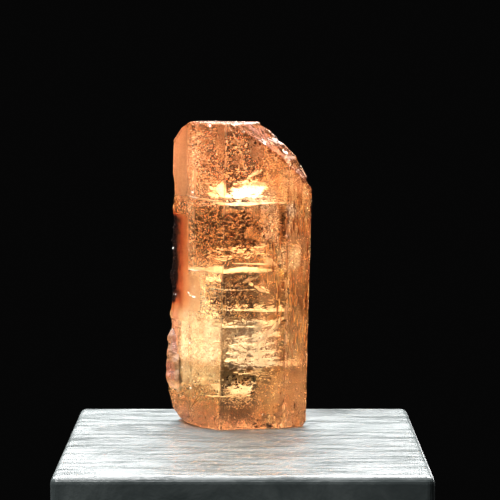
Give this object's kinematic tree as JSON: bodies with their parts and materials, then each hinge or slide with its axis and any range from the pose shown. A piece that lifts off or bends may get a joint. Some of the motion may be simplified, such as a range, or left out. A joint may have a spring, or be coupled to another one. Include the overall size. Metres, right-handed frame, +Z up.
{
  "type": "topaz crystal",
  "caption": "Free-standing striated prism of golden-orange topaz with a flat top, one long sloping shoulder, a splintered edge and a cleaved foot.",
  "frame": {"origin": "on the flat foot of the crystal, under the middle of its bounding box", "axes": "+Z up, within 1.4 degrees of the crystal's long c axis; the broad front faces look to -Y; the sloping shoulder falls to +X"},
  "size_m": [0.0148, 0.0094, 0.0304],
  "materials": {
    "topaz": "clear golden-orange topaz, striated faces with a silky gloss and frosted breaks"
  },
  "bodies": {
    "root": {"crystal": "topaz"}
  },
  "joints": []
}
